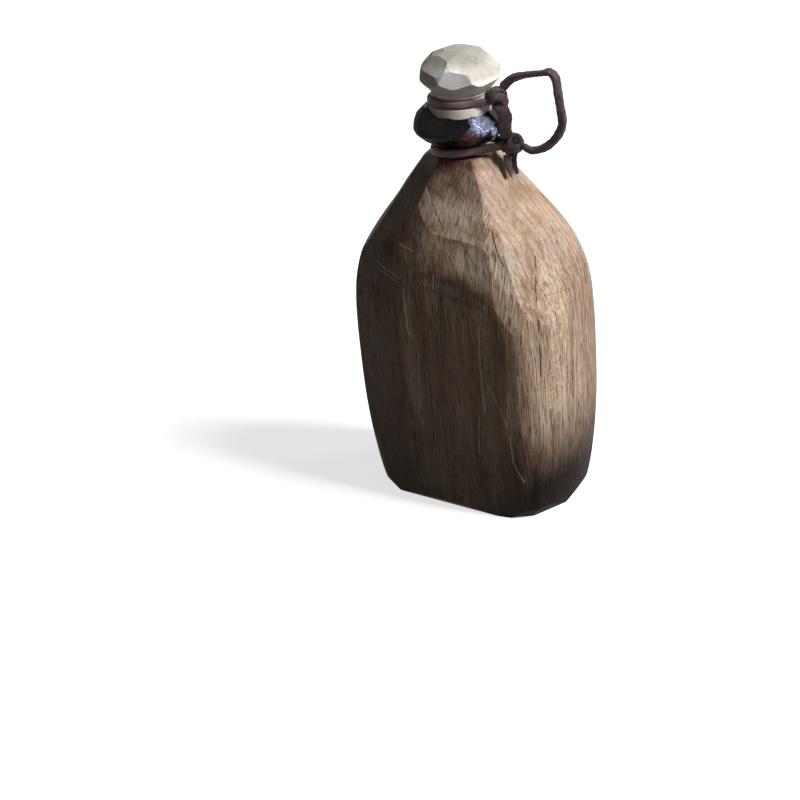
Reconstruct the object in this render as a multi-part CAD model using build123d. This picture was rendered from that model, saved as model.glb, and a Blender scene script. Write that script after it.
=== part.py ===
from build123d import *
import math
import os

# A hand-carved wooden flask with a tied stopper, in millimetres.
# Z is up and the base lies at Z = 0. The broad front faces -Y, the narrow sides face +X and -X.
# The body is carved from two halves, hollowed and glued along the plane Y = 0.

# Body: the smooth form, before the knife cuts its facets
body_width = 102.5
body_depth = 70.0
body_height = 157.5
neck_width = 33.6
wall = 7.5
floor_thickness = 9.0
knife_bite = 2.0

# Mouth: the neck tenon, its lining and the collar
mouth_radius = 6.5
lining_thickness = 0.8
tenon_wall = 2.3
tenon_height = 12.5
glue_gap = 0.05
throat_drop = 7.5
throat_step = 1.0

collar_waist_radius = 10.9
collar_widest_radius = 20.6
collar_height = 20.9
waist_height = 4.9
seat_height = 17.8
recess_radius = 13.8
collar_bite = 0.7

# Stopper: flange, thong groove, shank and knob, over a plug with its seal
flange_radius = 13.4
flange_height = 4.2
groove_radius = 10.7
groove_slack = 0.8
shank_radius = 11.9
shank_height = 2.0
knob_radius = 17.7
knob_height = 17.7
knob_bite = 0.9
knob_offset = 1.1
knob_offset_bearing = 35
plug_length = 15.0
plug_radius = 5.2
plug_end_length = 1.5
running_gap = 0.05

# Leather thong: a lace cut square and bevelled to eight sides
thong = 3.0
lace_sides = 8
thong_gap = 0.1
ring_tilt = 5.0
knot_radius = 3.5
wrap_radius = 2.9
upper_knot_reach = 18.6
upper_knot_rise = 1.8
upper_knot_bearing = 3.5
lower_knot_reach = 23.9
lower_knot_bearing = 8.5
thong_end_gap = 0.3
arc_share = 0.45

overrun = 20.0

belly_x = body_width / 2
belly_y = body_depth / 2
neck_radius = neck_width / 2
collar_seat = body_height + seat_height
groove_bottom = collar_seat + flange_height
groove_height = thong + 2 * thong_gap + groove_slack
knob_bottom = groove_bottom + groove_height + shank_height
tenon_top = body_height + tenon_height
tenon_bore = mouth_radius + lining_thickness
tenon_radius = tenon_bore + tenon_wall
seal_radius = mouth_radius - running_gap

# Upright form: height, how far each half size has grown from neck to belly, and how square the plan is
form_shares = (
    (0 / 9, 0.790, 0.690, 0.95),
    (1 / 9, 0.900, 0.830, 1.00),
    (2 / 9, 0.960, 0.930, 1.00),
    (3 / 9, 0.990, 0.980, 1.00),
    (4 / 9, 1.000, 1.000, 1.00),
    (5 / 9, 0.997, 0.997, 1.00),
    (6 / 9, 0.950, 0.940, 0.90),
    (7 / 9, 0.745, 0.760, 0.70),
    (8 / 9, 0.355, 0.410, 0.38),
    (9 / 9, 0.000, 0.000, 0.00),
)

# How much flatter than a circle the broad and narrow sides are, and how tight the corners, at full squareness
broad_flat_share = 2.60
narrow_flat_share = 0.75
corner_share = 0.90
corner_loss_share = 0.57
round_share = 1.05


class PlanCurve:
    """A rounded plan of eight tangent arcs: two broad sides, two narrow sides and four corners."""

    def __init__(self, half_x, half_y, square):
        self.half_x = half_x
        self.half_y = half_y
        self.broad = half_x * (round_share + broad_flat_share * square)
        self.narrow = half_y * (round_share + narrow_flat_share * square)
        self.corner = min(half_x, half_y) * (corner_share - corner_loss_share * square)
        self.centre = self.corner_centre()
        self.low_turn = math.degrees(math.atan2(self.centre.Y, self.centre.X - half_x + self.narrow))
        self.high_turn = math.degrees(math.atan2(self.centre.Y - half_y + self.broad, self.centre.X))

    def corner_centre(self):
        """Where the corner arc is centred, so that it touches the broad and the narrow arc from inside."""
        start = Vector(self.half_x - self.narrow, 0)
        along = Vector(0, self.half_y - self.broad) - start
        to_narrow = self.narrow - self.corner
        to_broad = self.broad - self.corner
        apart = along.length
        forward = (to_narrow**2 - to_broad**2 + apart**2) / (2 * apart)
        aside = math.sqrt(to_narrow**2 - forward**2)
        unit = along.normalized()
        return start + unit * forward + Vector(-unit.Y, unit.X) * aside

    def support(self, bearing):
        """How far the plan reaches towards a bearing, given in degrees from +X."""
        across = abs(math.cos(math.radians(bearing)))
        deep = abs(math.sin(math.radians(bearing)))
        turn = math.degrees(math.atan2(deep, across))
        if turn < self.low_turn:
            return (self.half_x - self.narrow) * across + self.narrow
        if turn > self.high_turn:
            return (self.half_y - self.broad) * deep + self.broad
        return self.centre.X * across + self.centre.Y * deep + self.corner

    def face(self, height):
        """The plan as a level face at a height."""
        middle = (self.low_turn + self.high_turn) / 2
        side, apex, front = (
            self.centre + Vector(math.cos(math.radians(turn)), math.sin(math.radians(turn))) * self.corner
            for turn in (self.low_turn, middle, self.high_turn)
        )
        quarters = ((1, 1), (-1, 1), (-1, -1), (1, -1))
        ends = (Vector(self.half_x, 0), Vector(0, self.half_y), Vector(-self.half_x, 0), Vector(0, -self.half_y))
        edges = []
        for number, (right, back) in enumerate(quarters):
            corner = [Vector(p.X * right, p.Y * back) for p in (side, apex, front)]
            if right * back < 0:
                corner.reverse()
            after = ends[(number + 1) % 4]
            next_right, next_back = quarters[(number + 1) % 4]
            mate = front if number % 2 == 0 else side
            edges.append(ThreePointArc(*corner))
            edges.append(ThreePointArc(corner[2], after, Vector(mate.X * next_right, mate.Y * next_back)))
        return Pos(0, 0, height) * make_face(edges)


def plan_at(share, half_x, half_y, top_radius):
    """The plan at a share of the height, between the rows of form_shares."""
    for low, high in zip(form_shares, form_shares[1:]):
        if share <= high[0]:
            part = (share - low[0]) / (high[0] - low[0])
            wide, deep, square = (a + (b - a) * part for a, b in zip(low[1:], high[1:]))
            return PlanCurve(top_radius + (half_x - top_radius) * wide, top_radius + (half_y - top_radius) * deep, square)
    raise ValueError("the share is above the form")


def vessel_form(low, high, half_x, half_y, top_radius, level_shares, banded):
    """The flask's form between two heights, with its own belly and throat, smooth or in straight bands."""
    sections = [
        plan_at(share, half_x, half_y, top_radius).face(low + (high - low) * share) for share in level_shares
    ]
    return loft(sections, ruled=banded)


def upright(radius, low, high):
    """A round post on the axis of the flask."""
    return Pos(0, 0, low) * Cylinder(radius, high - low, align=(Align.CENTER, Align.CENTER, Align.MIN))


def turned(points):
    """A solid turned about the axis of the flask from points given as radius and height."""
    return revolve(Plane.XZ * make_face(Polyline(*points, close=True)), axis=Axis.Z)


def bearing_point(reach, bearing, height):
    """A point at a reach from the axis, towards a bearing in degrees from +X."""
    turn = math.radians(bearing)
    return Vector(reach * math.cos(turn), reach * math.sin(turn), height)


def knife_plane(bearing, lean, reach, height):
    """One flat knife cut: it faces a bearing, leans up from level and meets that reach at that height."""
    turn, tip = math.radians(bearing), math.radians(lean)
    sideways = Vector(math.cos(turn), math.sin(turn), 0)
    outward = sideways * math.cos(tip) + Vector(0, 0, math.sin(tip))
    return Plane(origin=sideways * reach + Vector(0, 0, height), z_dir=outward)


def carved(solid, cuts):
    """A solid after its knife cuts: what it shares with a block that is flat on every one of them."""
    bounds = solid.bounding_box()
    block = Pos(bounds.center()) * Box(
        bounds.size.X + overrun, bounds.size.Y + overrun, bounds.size.Z + overrun
    )
    for cut in cuts:
        block = split(block, bisect_by=cut, keep=Keep.BOTTOM)
    return solid & block


# Body facets: bearing and lean in degrees, height as a share of the body, and bite as a share of knife_bite
body_facet_shares = (
    # the broad front: lower face, the two facets above it, the one at their right and the bevel at their left
    (-87, 0, 0.38, 0.85),
    (-84.4, 12, 0.73, 0.55),
    (-82, 30, 0.875, 1.00),
    (-64, 14, 0.62, 0.40),
    (-109, -1, 0.42, 0.90),
    (-113, 15, 0.76, 0.60),
    # the shoulders, from the front corner round by the right, the back and the left
    (-16, 38, 0.875, 0.95),
    (-18, 21, 0.81, 0.45),
    (10, 38, 0.89, 0.35),
    (16, 52, 0.965, 0.60),
    (38, 41, 0.93, 0.70),
    (70, 27, 0.90, 0.50),
    (101, 24, 0.90, 0.55),
    (142, 37, 0.89, 0.45),
    (176, 38, 0.88, 0.40),
    (-150, 36, 0.88, 0.40),
    (-119, 34, 0.90, 1.35),
    # the broad back and its bevels
    (92, 0, 0.40, 0.85),
    (95, 12, 0.74, 0.80),
    (70, 2, 0.42, 0.80),
    (113, 1, 0.38, 0.90),
    # the narrow sides
    (-3, -2, 0.34, 0.25),
    (177, -2, 0.36, 0.35),
    (-28, 2, 0.45, 0.25),
    (152, 0, 0.44, 0.35),
    # the knife cuts that break the edge of the base
    (-91, -42, 0.010, 0.50),
    (-52, -40, 0.014, 0.60),
    (-20, -40, 0.012, 0.60),
    (12, -42, 0.012, 0.50),
    (48, -40, 0.014, 0.60),
    (88, -42, 0.010, 0.50),
    (128, -40, 0.014, 0.60),
    (170, -42, 0.012, 0.50),
    (-160, -40, 0.012, 0.30),
    (-126, -38, 0.014, 0.35),
    # the cuts round the top of the neck
    (-150, 56, 0.995, 0.75),
    (-108, 54, 0.995, 0.60),
    (60, 56, 0.995, 0.70),
    (104, 54, 0.995, 0.60),
    (150, 58, 0.995, 0.70),
    (-178, 55, 0.995, 0.60),
)


def carved_body():
    """The outside of the body: its smooth form with every knife facet."""
    cuts = []
    for bearing, lean, share, bite in body_facet_shares:
        reach = plan_at(share, belly_x, belly_y, neck_radius).support(bearing)
        cuts.append(knife_plane(bearing, lean, reach - bite * knife_bite, body_height * share))
    levels = [row[0] for row in form_shares]
    return carved(vessel_form(0, body_height, belly_x, belly_y, neck_radius, levels, False), cuts)


# Levels of the hollow, which is gouged out in straight bands
hollow_level_shares = (0 / 9, 1 / 9, 3 / 9, 5 / 9, 6 / 9, 7 / 9, 9 / 9)


def cavity_form(inset):
    """The hollow with its neck, or the inside of its lining where inset is the coat's thickness."""
    throat = body_height - throat_drop
    bore = tenon_bore - inset
    hollow = vessel_form(
        floor_thickness + inset,
        throat - inset,
        belly_x - wall - inset,
        belly_y - wall - inset,
        bore + throat_step,
        hollow_level_shares,
        True,
    )
    return hollow + upright(bore, throat - throat_drop, tenon_top)


def body_halves():
    """Front and back half: the carved outside with its neck tenon, less the hollow, cut at the glue plane."""
    solid = carved_body() + upright(tenon_radius, body_height - throat_drop, tenon_top)
    solid -= cavity_form(0)
    front = split(solid, bisect_by=Plane.XZ, keep=Keep.TOP)
    back = split(solid, bisect_by=Plane.XZ, keep=Keep.BOTTOM)
    return front, back


def inner_lining():
    """The sealing coat that lies on the whole hollow and lines the neck."""
    return cavity_form(0) - cavity_form(lining_thickness)


# Collar outline: radius as a share of its widest radius, then height as a share of the collar
collar_shares = ((0.796, 0.335), (0.966, 0.490), (1.000, 0.575), (0.990, 0.665), (0.915, 0.845), (0.748, 1.000))

# Collar facets: bearing and lean in degrees, then height as a share of the collar and bite as a share of collar_bite
collar_facet_shares = (
    # underneath
    (-148, -46, 0.41, 1.0),
    (-106, -48, 0.40, 0.8),
    (-64, -46, 0.41, 1.0),
    (-26, -48, 0.40, 0.9),
    (14, -46, 0.41, 1.0),
    (58, -48, 0.40, 0.9),
    (98, -46, 0.41, 1.0),
    (140, -48, 0.40, 0.9),
    (176, -46, 0.41, 1.0),
    # the front of the rim, pared down to the flange
    (-94, 50, 0.76, 4.0),
    (-56, 52, 0.76, 4.3),
    (-18, 51, 0.76, 4.2),
    (20, 50, 0.76, 4.0),
    # the rest of the rim
    (-136, 40, 0.86, 0.9),
    (56, 40, 0.85, 1.0),
    (100, 38, 0.86, 0.9),
    (142, 40, 0.85, 1.0),
    (-176, 38, 0.86, 0.9),
    # round the widest part
    (-20, 3, 0.60, 0.9),
    (24, 2, 0.61, 0.7),
    (70, 3, 0.60, 0.8),
    (120, 2, 0.61, 0.8),
    (165, 3, 0.60, 0.7),
    (-60, 4, 0.61, 0.8),
    (-105, 2, 0.60, 0.8),
    (-150, 3, 0.61, 0.7),
)


def share_reach(shares, share):
    """How far an outline of radius and height shares reaches at a share of the height."""
    for low, high in zip(shares, shares[1:]):
        if share <= high[1]:
            part = (share - low[1]) / (high[1] - low[1])
            return low[0] + (high[0] - low[0]) * part
    raise ValueError("the share is above the outline")


def neck_collar():
    """The lacquered mouth ring, seated on the body's shoulder and over the neck tenon, with a seat for the flange."""
    socket_top = tenon_top + glue_gap
    socket_radius = tenon_radius + glue_gap
    rim_height = body_height + collar_height
    outline = turned(
        [
            (mouth_radius, socket_top),
            (socket_radius, socket_top),
            (socket_radius, body_height),
            (collar_waist_radius, body_height),
            (collar_waist_radius, body_height + waist_height),
        ]
        + [(r * collar_widest_radius, body_height + h * collar_height) for r, h in collar_shares]
        + [(recess_radius, rim_height), (recess_radius, collar_seat), (mouth_radius, collar_seat)]
    )
    cuts = [
        knife_plane(
            bearing,
            lean,
            share_reach(collar_shares, share) * collar_widest_radius - bite * collar_bite,
            body_height + share * collar_height,
        )
        for bearing, lean, share, bite in collar_facet_shares
    ]
    return carved(outline, cuts)


# Knob outline: radius and height as shares of the knob, from its lower edge to its crown
knob_shares = ((0.74, 0.00), (0.97, 0.26), (1.00, 0.36), (0.91, 0.62), (0.68, 0.85), (0.36, 0.97), (0.00, 1.00))

# Knob facets: bearing and lean in degrees, then height as a share of the knob and bite as a share of knob_bite
knob_facet_shares = (
    (-112, 3, 0.38, 1.6),
    (-64, 6, 0.38, 1.6),
    (-13, 17, 0.46, 2.3),
    (28, 3, 0.35, 1.0),
    (72, 8, 0.36, 1.1),
    (116, 4, 0.34, 1.0),
    (160, 7, 0.35, 1.1),
    (-150, 5, 0.36, 1.0),
    (-88, -42, 0.14, 0.7),
    (-48, -40, 0.14, 0.6),
    (-6, -42, 0.13, 0.7),
    (44, -40, 0.14, 0.6),
    (94, -42, 0.14, 0.7),
    (140, -40, 0.13, 0.6),
    (-172, -42, 0.14, 0.7),
    (-132, -44, 0.12, 0.2),
    (-105, 43, 0.72, 1.7),
    (-48, 52, 0.82, 2.2),
    (14, 46, 0.76, 1.5),
    (46, 45, 0.74, 1.8),
    (108, 43, 0.70, 1.0),
    (162, 40, 0.71, 1.2),
    (-146, 43, 0.70, 1.0),
    (-88, 70, 0.93, 0.9),
    (2, 70, 0.92, 1.1),
    (88, 68, 0.92, 1.0),
    (170, 70, 0.92, 1.0),
)


def stopper():
    """Knob, shank, thong groove, flange and plug, turned in one piece and then cut in facets."""
    knob = turned([(r * knob_radius, knob_bottom + h * knob_height) for r, h in knob_shares] + [(0, knob_bottom)])
    cuts = [
        knife_plane(
            bearing,
            lean,
            share_reach(knob_shares, share) * knob_radius - bite * knob_bite,
            knob_bottom + share * knob_height,
        )
        for bearing, lean, share, bite in knob_facet_shares
    ]
    knob = Location(bearing_point(knob_offset, knob_offset_bearing, 0)) * carved(knob, cuts)
    groove_top = groove_bottom + groove_height
    shank = turned(
        (
            (0, knob_bottom),
            (shank_radius, knob_bottom),
            (shank_radius, groove_top),
            (groove_radius, groove_top),
            (groove_radius, groove_bottom),
            (flange_radius, groove_bottom),
            (flange_radius, collar_seat),
            (plug_radius, collar_seat),
            (plug_radius, collar_seat - plug_length + plug_end_length),
            (seal_radius, collar_seat - plug_length + plug_end_length),
            (plug_radius, collar_seat - plug_length),
            (0, collar_seat - plug_length),
        )
    )
    return knob + shank


def stopper_seal():
    """The sleeve that fills the plug up to the bore, between the flange and the plug's end."""
    low = collar_seat - plug_length + plug_end_length
    return upright(seal_radius, low, collar_seat) - upright(plug_radius + glue_gap, low, collar_seat)


lace_radius = thong / 2
lower_ring_turn = collar_waist_radius + thong_gap + lace_radius
lower_ring_slope = math.tan(math.radians(ring_tilt))
lower_ring_height = body_height + thong_gap + lace_radius + lower_ring_turn * lower_ring_slope
upper_ring_turn = groove_radius + thong_gap + lace_radius
upper_ring_height = groove_bottom + groove_height / 2
lower_centre = bearing_point(
    lower_knot_reach, lower_knot_bearing, lower_ring_height + lower_knot_reach * lower_ring_slope
)
upper_centre = bearing_point(upper_knot_reach, upper_knot_bearing, upper_ring_height + upper_knot_rise)


def lace():
    """The thong's section: a square lace with its edges bevelled."""
    return RegularPolygon(lace_radius, lace_sides, major_radius=False, rotation=180 / lace_sides)


def teardrop_ring(turn_radius, reach, bearing, height, tilt):
    """Thong round a neck: an arc about the axis whose two ends run straight to the knot."""
    open_half = math.acos(turn_radius / reach)
    tip = Vector(reach, 0)
    near, far = (
        Vector(turn_radius * math.cos(side * open_half), turn_radius * math.sin(side * open_half)) for side in (1, -1)
    )
    path = Wire([Line(tip, near), ThreePointArc(near, Vector(-turn_radius, 0), far), Line(far, tip)])
    place = Pos(0, 0, height) * Rot(0, 0, bearing) * Rot(0, -tilt, 0)
    start = Plane(origin=tip, x_dir=(0, 0, 1), z_dir=near - tip)
    tube = sweep(start * lace(), path=path, transition=Transition.RIGHT)
    return place * tube


def raised(points):
    """A route's points in place above the top of the body."""
    return [Vector(x, y, body_height + z) for x, y, z in points]


def thong_run(points):
    """A free stretch of thong: straight runs joined by arcs as large as the runs allow."""
    points = raised(points)
    radii = []
    for before, at, after in zip(points, points[1:], points[2:]):
        turn = math.radians((at - before).get_angle(after - at))
        shorter = min((at - before).length, (after - at).length)
        radii.append(arc_share * shorter / math.tan(turn / 2))
    path = FilletPolyline(*points, radius=radii)
    start = Plane(origin=points[0], z_dir=points[1] - points[0])
    return sweep(start * lace(), path=path)


# The thong's routes, chosen by hand: X and Y from the flask's axis, and the height above the top of the body
tether_points = ((20.6, 1.2, 21.5), (22.5, 0.5, 18.5), (23.5, 0.2, 15.1), (23.6, 0.8, 12.1), (23.5, 2.3, 9.6))
loop_points = (
    (20.9, 2.6, 29.8),
    (24.5, 3.4, 33.0),
    (28.7, 4.0, 35.0),
    (36.7, 5.2, 36.7),
    (41.7, 5.9, 37.4),
    (44.6, 6.3, 35.9),
    (45.2, 6.4, 31.7),
    (45.9, 6.5, 25.0),
    (46.3, 6.5, 18.0),
    (45.0, 6.3, 12.3),
    (40.5, 5.7, 7.2),
    (35.0, 4.9, 3.7),
    (31.0, 4.3, 3.1),
    (28.2, 4.0, 4.4),
)
long_tail_points = ((22.2, 4.4, 0.0), (22.4, 3.9, -2.2), (23.6, 3.1, -5.2), (25.3, 2.5, -8.0))
short_tail_points = ((21.8, 1.2, 0.2), (21.9, 0.7, -2.0), (23.1, -0.1, -4.8), (24.5, -0.7, -7.2))


def knot_solid(centre, bearing, wraps, exits):
    """A tight overhand knot: a core, the wraps that cross over it, and the stubs where the thong leaves it."""
    core = Sphere(knot_radius)
    for tilt, spin in wraps:
        core += Rot(0, 0, spin) * Rot(tilt, 0, 0) * revolve(Plane.XZ * Pos(wrap_radius, 0) * lace(), axis=Axis.Z)
    solid = Location(centre) * Rot(0, 0, bearing) * core
    for end, beyond, gap in exits:
        end, beyond = raised((end, beyond))
        inward = (end - beyond).normalized()
        foot = end + inward * gap
        root = foot + inward * ((centre - foot).length - knot_radius / 2)
        solid += extrude(Plane(origin=root, z_dir=foot - root) * lace(), amount=(foot - root).length)
    return solid


def main():
    """Builds every piece and writes each to its own file."""
    front, back = body_halves()
    lower_ring = teardrop_ring(lower_ring_turn, lower_knot_reach, lower_knot_bearing, lower_ring_height, ring_tilt)
    upper_ring = teardrop_ring(upper_ring_turn, upper_knot_reach, upper_knot_bearing, upper_ring_height, 0)
    upper = knot_solid(
        upper_centre,
        upper_knot_bearing,
        ((62, 20), (-58, 75)),
        (
            (tether_points[0], tether_points[1], thong_end_gap),
            (loop_points[0], loop_points[1], thong_end_gap),
        ),
    )
    lower = knot_solid(
        lower_centre,
        lower_knot_bearing,
        ((40, -25), (-66, 50)),
        (
            (tether_points[-1], tether_points[-2], 0),
            (loop_points[-1], loop_points[-2], 0),
            (long_tail_points[0], long_tail_points[1], 0),
            (short_tail_points[0], short_tail_points[1], 0),
        ),
    )
    nodes = {
        "body_front_half": front,
        "body_back_half": back,
        "inner_lining": inner_lining(),
        "neck_collar": neck_collar(),
        "stopper": stopper(),
        "stopper_seal": stopper_seal(),
        "stopper_cord_ring": upper_ring - upper,
        "stopper_knot": upper,
        "neck_cord_ring": lower_ring - lower,
        "neck_knot": lower,
        "tether_strand": thong_run(tether_points),
        "carry_loop": thong_run(loop_points),
        "cord_tail_long": thong_run(long_tail_points),
        "cord_tail_short": thong_run(short_tail_points),
    }
    os.makedirs("parts", exist_ok=True)
    for name, shape in nodes.items():
        shape.label = name
        export_step(shape, f"parts/{name}.step")


main()
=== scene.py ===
import math
import bpy
from mathutils import Matrix, Vector


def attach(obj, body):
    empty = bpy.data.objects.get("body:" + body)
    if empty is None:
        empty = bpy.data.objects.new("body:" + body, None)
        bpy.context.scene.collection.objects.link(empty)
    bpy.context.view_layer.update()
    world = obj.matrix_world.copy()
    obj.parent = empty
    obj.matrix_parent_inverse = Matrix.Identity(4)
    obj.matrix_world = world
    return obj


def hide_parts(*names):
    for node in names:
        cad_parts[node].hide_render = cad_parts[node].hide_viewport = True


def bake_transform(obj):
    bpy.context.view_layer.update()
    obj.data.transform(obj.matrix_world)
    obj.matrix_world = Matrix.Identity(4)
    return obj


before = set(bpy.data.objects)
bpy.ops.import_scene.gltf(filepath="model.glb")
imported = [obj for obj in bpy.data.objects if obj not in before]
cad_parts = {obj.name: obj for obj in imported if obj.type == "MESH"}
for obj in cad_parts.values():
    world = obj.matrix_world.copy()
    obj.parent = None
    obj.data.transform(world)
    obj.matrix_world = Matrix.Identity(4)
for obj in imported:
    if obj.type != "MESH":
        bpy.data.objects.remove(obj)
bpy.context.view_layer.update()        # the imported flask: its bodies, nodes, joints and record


# The carved body
# Two halves of a close-grained brown wood, hollowed, glued along the grain and pared to flat facets
# with a knife. The wood is oiled and stained under the neck cord. Painted shade darkens it low down, at
# the left and over the front, and painted light brightens one front facet.

def fill_inputs(tree, node, inputs):
    """Sets a node's inputs, by name or number, or links them to another node's output."""
    for name, value in inputs.items():
        if isinstance(value, bpy.types.NodeSocket):
            tree.links.new(value, node.inputs[name])
        else:
            node.inputs[name].default_value = value


def add_node(tree, kind, inputs=None, **settings):
    """Adds a node to a material or a group, sets its options and fills its inputs."""
    node = tree.nodes.new(kind)
    for name, value in settings.items():
        setattr(node, name, value)
    fill_inputs(tree, node, inputs or {})
    return node


def maths(tree, operation, *values):
    """One sum on numbers that vary over a surface."""
    inputs = dict(enumerate(values))
    return add_node(tree, "ShaderNodeMath", inputs, operation=operation).outputs[0]


def times(tree, *values):
    """The product of numbers that vary over a surface."""
    product = values[0]
    for value in values[1:]:
        product = maths(tree, "MULTIPLY", product, value)
    return product


def vectors(tree, operation, first, second=None, output="Vector", **inputs):
    """One sum on places or directions."""
    inputs[0] = first
    if second is not None:
        inputs[1] = second
    return add_node(tree, "ShaderNodeVectorMath", inputs, operation=operation).outputs[output]


def parts(tree, vector):
    """The X, Y and Z of a place or a direction."""
    return add_node(tree, "ShaderNodeSeparateXYZ", {0: vector}).outputs


def between(tree, value, low, high, bottom=0.0, top=1.0, smooth=True):
    """A value spread from low to high, limited at both ends."""
    kind = "SMOOTHSTEP" if smooth else "LINEAR"
    inputs = {"Value": value, "From Min": low, "From Max": high, "To Min": bottom, "To Max": top}
    spread = add_node(tree, "ShaderNodeMapRange", inputs, interpolation_type=kind, clamp=True)
    return spread.outputs["Result"]


def noise(tree, place, size, detail=3.0, roughness=0.5, warp=0.0):
    """Noise over a place in millimetres, with marks of the given size along X, Y and Z."""
    scaled = vectors(tree, "MULTIPLY", place, tuple(1.0 / length for length in size))
    inputs = {"Vector": scaled, "Scale": 1.0, "Detail": detail, "Roughness": roughness, "Distortion": warp}
    return add_node(tree, "ShaderNodeTexNoise", inputs).outputs["Fac"]


def opaque(colour):
    """A colour with its alpha added, or a node's output as it is."""
    return colour if isinstance(colour, bpy.types.NodeSocket) else (*colour, 1.0)


def mixed(tree, share, first, second, mode="MIX"):
    """One colour laid over another by a share."""
    inputs = {0: share, 6: opaque(first), 7: opaque(second)}
    return add_node(tree, "ShaderNodeMix", inputs, data_type="RGBA", blend_type=mode).outputs[2]


def millimetres(tree):
    """The place on the object in millimetres."""
    place = add_node(tree, "ShaderNodeTexCoord").outputs["Object"]
    return vectors(tree, "SCALE", place, Scale=1000.0)


def facing(tree):
    """The X, Y and Z of the way the surface faces."""
    return parts(tree, add_node(tree, "ShaderNodeNewGeometry").outputs["Normal"])


def new_group(name, inputs, outputs):
    """A shader node group with the sockets named, and its own input and output nodes."""
    group = bpy.data.node_groups.new(name, "ShaderNodeTree")
    for label, kind, value in inputs:
        socket = group.interface.new_socket(label, in_out="INPUT", socket_type=kind)
        socket.default_value = value
    for label, kind in outputs:
        group.interface.new_socket(label, in_out="OUTPUT", socket_type=kind)
    given = group.nodes.new("NodeGroupInput").outputs
    result = group.nodes.new("NodeGroupOutput").inputs
    return group, given, result


def put_group(tree, group, inputs):
    """Places a node group in a material with its own values."""
    node = tree.nodes.new("ShaderNodeGroup")
    node.node_tree = group
    fill_inputs(tree, node, inputs)
    return node.outputs


def new_material(name):
    """An empty material with its Principled shader joined to the output."""
    material = bpy.data.materials.new(name)
    material.use_nodes = True
    tree = material.node_tree
    tree.nodes.clear()
    shader = tree.nodes.new("ShaderNodeBsdfPrincipled")
    out = tree.nodes.new("ShaderNodeOutputMaterial")
    tree.links.new(shader.outputs[0], out.inputs["Surface"])
    return material, tree, shader


def bump_on(tree, shader, height, strength, depth=0.001, normal=None):
    """Raises and sinks a surface by a height, over its own normal or over the one given."""
    inputs = {"Strength": strength, "Distance": depth, "Height": height}
    if normal is not None:
        inputs["Normal"] = normal
    bump = add_node(tree, "ShaderNodeBump", inputs)
    tree.links.new(bump.outputs[0], shader.inputs["Normal"])


def finish_with(node_name, material):
    """Gives a CAD piece its material."""
    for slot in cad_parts[node_name].material_slots:
        slot.material = material


# Eased edges: the shading of a knife edge that has been handled, and where that edge is
eased_edges, given, result = new_group(
    "Eased edges",
    (("Radius", "NodeSocketFloat", 0.0006),),
    (("Normal", "NodeSocketVector"), ("Edge", "NodeSocketFloat")),
)
bevelled = add_node(eased_edges, "ShaderNodeBevel", {"Radius": given["Radius"]}, samples=6).outputs[0]
flat = add_node(eased_edges, "ShaderNodeNewGeometry").outputs["Normal"]
turned = vectors(eased_edges, "DOT_PRODUCT", bevelled, flat, output="Value")
eased_edges.links.new(bevelled, result["Normal"])
eased_edges.links.new(between(eased_edges, turned, 0.998, 0.93), result["Edge"])


# Wood grain: rings round the heart of the tree, and fibres, pale threads and pores drawn out along it,
# laid over the front or over the side of the piece, so that they run down its sloping facets too
wood_grain, given, result = new_group(
    "Wood grain",
    (
        ("Place", "NodeSocketVector", (0.0, 0.0, 0.0)),
        ("Heart", "NodeSocketVector", (20.0, 130.0, 0.0)),
        ("Ring width", "NodeSocketFloat", 3.0),
        ("Wander", "NodeSocketFloat", 5.0),
        ("Pore share", "NodeSocketFloat", 0.4),
        ("Side", "NodeSocketFloat", 0.0),
    ),
    (
        ("Rings", "NodeSocketFloat"),
        ("Fibres", "NodeSocketFloat"),
        ("Threads", "NodeSocketFloat"),
        ("Pores", "NodeSocketFloat"),
    ),
)
place = given["Place"]
wander = times(wood_grain, noise(wood_grain, place, (30, 30, 90), 2.0), given["Wander"])
fine_wander = times(wood_grain, noise(wood_grain, place, (5, 5, 40), 2.0), 1.6)
from_heart = vectors(wood_grain, "SUBTRACT", place, given["Heart"])
level = vectors(wood_grain, "MULTIPLY", from_heart, (1.0, 1.0, 0.02))
reach = vectors(wood_grain, "LENGTH", level, output="Value")
reach = maths(wood_grain, "ADD", maths(wood_grain, "ADD", reach, wander), fine_wander)
ring = maths(wood_grain, "FRACT", maths(wood_grain, "DIVIDE", reach, given["Ring width"]))
early = between(wood_grain, ring, 0.0, 0.42, 1.0, 0.0)
late = between(wood_grain, ring, 0.86, 1.0)
rings = maths(wood_grain, "MAXIMUM", early, late)
side_lay = vectors(wood_grain, "MULTIPLY", place, (0.20, 1.0, 1.0))
front_lay = vectors(wood_grain, "MULTIPLY", place, (1.0, 0.08, 1.0))


def laid(size, detail, roughness):
    """Noise drawn out along the grain, over the front or over the side."""
    front = noise(wood_grain, front_lay, size, detail, roughness)
    side = noise(wood_grain, side_lay, size, detail, roughness)
    more = maths(wood_grain, "SUBTRACT", side, front)
    return maths(wood_grain, "MULTIPLY_ADD", more, given["Side"], front)


fibres = laid((0.34, 0.34, 26), 3.0, 0.6)
threads = laid((0.50, 0.50, 44), 2.0, 0.5)
pore_field = laid((0.25, 0.25, 7.0), 1.0, 0.4)
pore_bands = noise(wood_grain, place, (4.0, 4.0, 60), 2.0, 0.5)
pore_line = maths(wood_grain, "MULTIPLY_ADD", given["Pore share"], -0.3, 0.86)
pore_line = maths(wood_grain, "MULTIPLY_ADD", rings, -0.04, pore_line)
pore_line = maths(wood_grain, "MULTIPLY_ADD", pore_bands, -0.12, pore_line)
pores = between(wood_grain, maths(wood_grain, "SUBTRACT", pore_field, pore_line), 0.0, 0.06)
for name, mask in (("Rings", rings), ("Fibres", fibres), ("Threads", threads), ("Pores", pores)):
    wood_grain.links.new(mask, result[name])


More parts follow.
